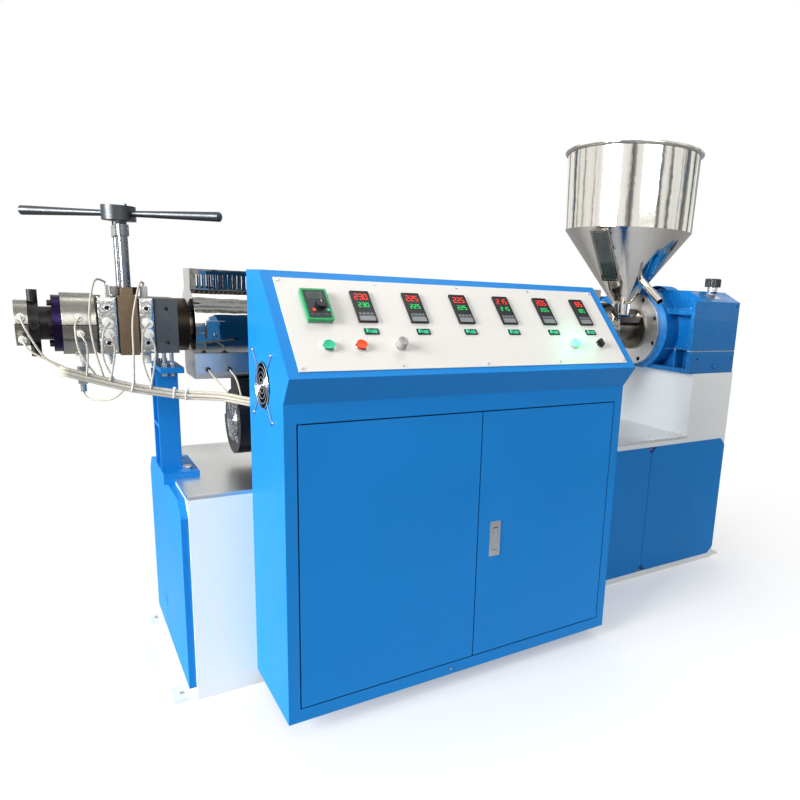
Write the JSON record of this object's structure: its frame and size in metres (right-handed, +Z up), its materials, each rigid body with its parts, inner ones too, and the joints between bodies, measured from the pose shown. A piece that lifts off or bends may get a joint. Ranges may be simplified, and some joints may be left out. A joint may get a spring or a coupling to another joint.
{
  "type": "single screw compounding extruder",
  "caption": "Single-screw compounding extruder with gearbox, hopper, screen changer head and a sloped control cabinet on a steel base frame.",
  "frame": {"origin": "on the floor, under the middle of the base frame and under the screw's axis", "axes": "+X along the screw from the die to the gearbox, -Y towards the operator, +Z up"},
  "size_m": [2.519, 0.898, 1.659],
  "materials": {
    "blue_paint": "satin",
    "white_paint": "satin",
    "panel_sheet": "satin",
    "stainless": "brushed",
    "mirror_stainless": "polished",
    "machined_steel": "machined",
    "zinc": "bright zinc",
    "black_steel": "black oxide",
    "brown_steel": "heat tinted",
    "purple_steel": "heat tinted",
    "ceramic": "unglazed",
    "black_plastic": "matt",
    "green_plastic": "satin",
    "green_cap": "gloss",
    "red_cap": "gloss",
    "grey_plastic": "satin",
    "switchgear": "matt",
    "glass_fibre_sleeve": "braided",
    "rubber_belt": "matt",
    "motor_paint": "satin"
  },
  "bodies": {
    "machine": {"base_frame": "white_paint", "deck_plate": "stainless", "cover_panels": "blue_paint", "support_post": "blue_paint", "bright_fittings": "zinc", "head_bolts": "black_steel", "cabinet_shell": "blue_paint", "console_panel": "panel_sheet", "keypad": "green_plastic", "controllers": "black_plastic", "operator_bezels": "zinc", "fan_housings": "black_plastic", "cabinet_equipment": "switchgear", "head_blocks": "black_steel", "heaters": "mirror_stainless", "ceramic_terminals": "ceramic", "changer_body": "brown_steel", "lift_frame": "black_steel", "head_adapter": "black_steel", "die_flange": "purple_steel", "die_body": "black_steel", "heater_cables": "glass_fibre_sleeve", "hopper": "mirror_stainless", "sight_window": "stainless", "barrel": "machined_steel", "barrel_cover": "mirror_stainless", "lower_box": "stainless", "feed_section": "machined_steel", "gear_flange": "machined_steel", "gearbox_case": "blue_paint", "gearbox_cover": "blue_paint", "motor": "motor_paint", "drive_belts": "rubber_belt"},
    "left_door": {"left_door": "blue_paint"},
    "right_door": {"right_door": "blue_paint", "lock_body": "zinc"},
    "lock_lever": {"lock_handle": "zinc"},
    "keypad_dial": {"keypad_dial": "black_plastic"},
    "run_key": {"run_key": "green_cap"},
    "stop_key": {"stop_key": "red_cap"},
    "start_button": {"start_button": "green_cap"},
    "stop_button": {"stop_button": "red_cap"},
    "speed_knob": {"speed_knob": "grey_plastic"},
    "selector_knob": {"selector_knob": "black_plastic"},
    "cabinet_fan": {"fan_rotor": "black_plastic"},
    "blower_wheel": {"blower_wheel": "machined_steel"},
    "screen_slide": {"screen_slide": "black_steel", "lift_screw": "machined_steel"},
    "lift_handle": {"handle": "black_steel"},
    "screw": {"screw": "machined_steel", "bull_gear": "machined_steel"},
    "layshaft": {"layshaft": "machined_steel"},
    "input_shaft": {"input_shaft": "machined_steel"},
    "motor_rotor": {"motor_rotor": "machined_steel"},
    "rocker_1": {"rocker_1": "green_cap"},
    "rocker_2": {"rocker_2": "green_cap"},
    "rocker_3": {"rocker_3": "green_cap"},
    "rocker_4": {"rocker_4": "green_cap"},
    "rocker_5": {"rocker_5": "green_cap"},
    "rocker_6": {"rocker_6": "green_cap"}
  },
  "joints": [
    {"name": "left_door_swing", "type": "hinge", "parent": "machine", "child": "left_door", "pos_m": [-0.862, -0.5625, 0.437], "axis": [0, 0, -1], "range_deg": [0, 110]},
    {"name": "right_door_swing", "type": "hinge", "parent": "machine", "child": "right_door", "pos_m": [0.097, -0.5625, 0.437], "axis": [0, 0, 1], "range_deg": [0, 110]},
    {"name": "lock_lever_swing", "type": "hinge", "parent": "right_door", "child": "lock_lever", "pos_m": [-0.31515, -0.5675, 0.397], "axis": [1, 0, 0], "range_deg": [0, 60]},
    {"name": "keypad_dial_turn", "type": "hinge", "parent": "machine", "child": "keypad_dial", "pos_m": [-0.7855, -0.48929, 1.05838], "axis": [0, -0.726, 0.6877], "range_deg": [-150, 150]},
    {"name": "run_key_press", "type": "slide", "parent": "machine", "child": "run_key", "axis": [0, 0.726, -0.6877], "range_m": [0, 0.0012], "stiffness_N_per_m": 400},
    {"name": "stop_key_press", "type": "slide", "parent": "machine", "child": "stop_key", "axis": [0, 0.726, -0.6877], "range_m": [0, 0.0012], "stiffness_N_per_m": 400},
    {"name": "start_button_press", "type": "slide", "parent": "machine", "child": "start_button", "axis": [0, 0.726, -0.6877], "range_m": [0, 0.004], "stiffness_N_per_m": 500},
    {"name": "stop_button_press", "type": "slide", "parent": "machine", "child": "stop_button", "axis": [0, 0.726, -0.6877], "range_m": [0, 0.004], "stiffness_N_per_m": 500},
    {"name": "speed_knob_turn", "type": "hinge", "parent": "machine", "child": "speed_knob", "pos_m": [-0.6114, -0.55978, 0.97088], "axis": [0, -0.726, 0.6877], "range_deg": [-150, 150]},
    {"name": "selector_turn", "type": "hinge", "parent": "machine", "child": "selector_knob", "pos_m": [0.0354, -0.55978, 0.97088], "axis": [0, -0.726, 0.6877], "range_deg": [-45, 45]},
    {"name": "rocker_1_tip", "type": "hinge", "parent": "machine", "child": "rocker_1", "pos_m": [-0.6738, -0.52516, 0.9987], "axis": [0, 0.6877, 0.726], "range_deg": [-16, 0]},
    {"name": "rocker_2_tip", "type": "hinge", "parent": "machine", "child": "rocker_2", "pos_m": [-0.5342, -0.52516, 0.9987], "axis": [0, 0.6877, 0.726], "range_deg": [-16, 0]},
    {"name": "rocker_3_tip", "type": "hinge", "parent": "machine", "child": "rocker_3", "pos_m": [-0.3946, -0.52516, 0.9987], "axis": [0, 0.6877, 0.726], "range_deg": [-16, 0]},
    {"name": "rocker_4_tip", "type": "hinge", "parent": "machine", "child": "rocker_4", "pos_m": [-0.255, -0.52516, 0.9987], "axis": [0, 0.6877, 0.726], "range_deg": [-16, 0]},
    {"name": "rocker_5_tip", "type": "hinge", "parent": "machine", "child": "rocker_5", "pos_m": [-0.1154, -0.52516, 0.9987], "axis": [0, 0.6877, 0.726], "range_deg": [-16, 0]},
    {"name": "rocker_6_tip", "type": "hinge", "parent": "machine", "child": "rocker_6", "pos_m": [0.0242, -0.52516, 0.9987], "axis": [0, 0.6877, 0.726], "range_deg": [-16, 0]},
    {"name": "cabinet_fan_spin", "type": "hinge", "parent": "machine", "child": "cabinet_fan", "pos_m": [-0.89, -0.41, 0.863], "axis": [1, 0, 0], "continuous": true},
    {"name": "blower_spin", "type": "hinge", "parent": "machine", "child": "blower_wheel", "pos_m": [-0.84, 0, 0.7], "axis": [1, 0, 0], "continuous": true},
    {"name": "slide_lift", "type": "slide", "parent": "machine", "child": "screen_slide", "axis": [0, 0, 1], "range_m": [0, 0.115]},
    {"name": "handle_turn", "type": "hinge", "parent": "machine", "child": "lift_handle", "pos_m": [-1.143, 0, 1.255], "axis": [0, 0, 1], "range_deg": [0, 5175]},
    {"name": "screw_spin", "type": "hinge", "parent": "machine", "child": "screw", "pos_m": [0, 0, 0.978], "axis": [1, 0, 0], "continuous": true},
    {"name": "layshaft_spin", "type": "hinge", "parent": "machine", "child": "layshaft", "pos_m": [0.9, 0.14917, 1.00971], "axis": [1, 0, 0], "continuous": true},
    {"name": "input_spin", "type": "hinge", "parent": "machine", "child": "input_shaft", "pos_m": [0.9, 0.20052, 1.06017], "axis": [1, 0, 0], "continuous": true},
    {"name": "motor_spin", "type": "hinge", "parent": "machine", "child": "motor_rotor", "pos_m": [0.9, 0.172, 0.262], "axis": [1, 0, 0], "continuous": true}
  ],
  "couplings": [
    {"joint": "handle_turn", "follows": "slide_lift", "rad_per_m": 785.4},
    {"joint": "layshaft_spin", "follows": "screw_spin", "ratio": -3.6923},
    {"joint": "input_spin", "follows": "screw_spin", "ratio": 11.077},
    {"joint": "motor_spin", "follows": "screw_spin", "ratio": 14.4}
  ]
}
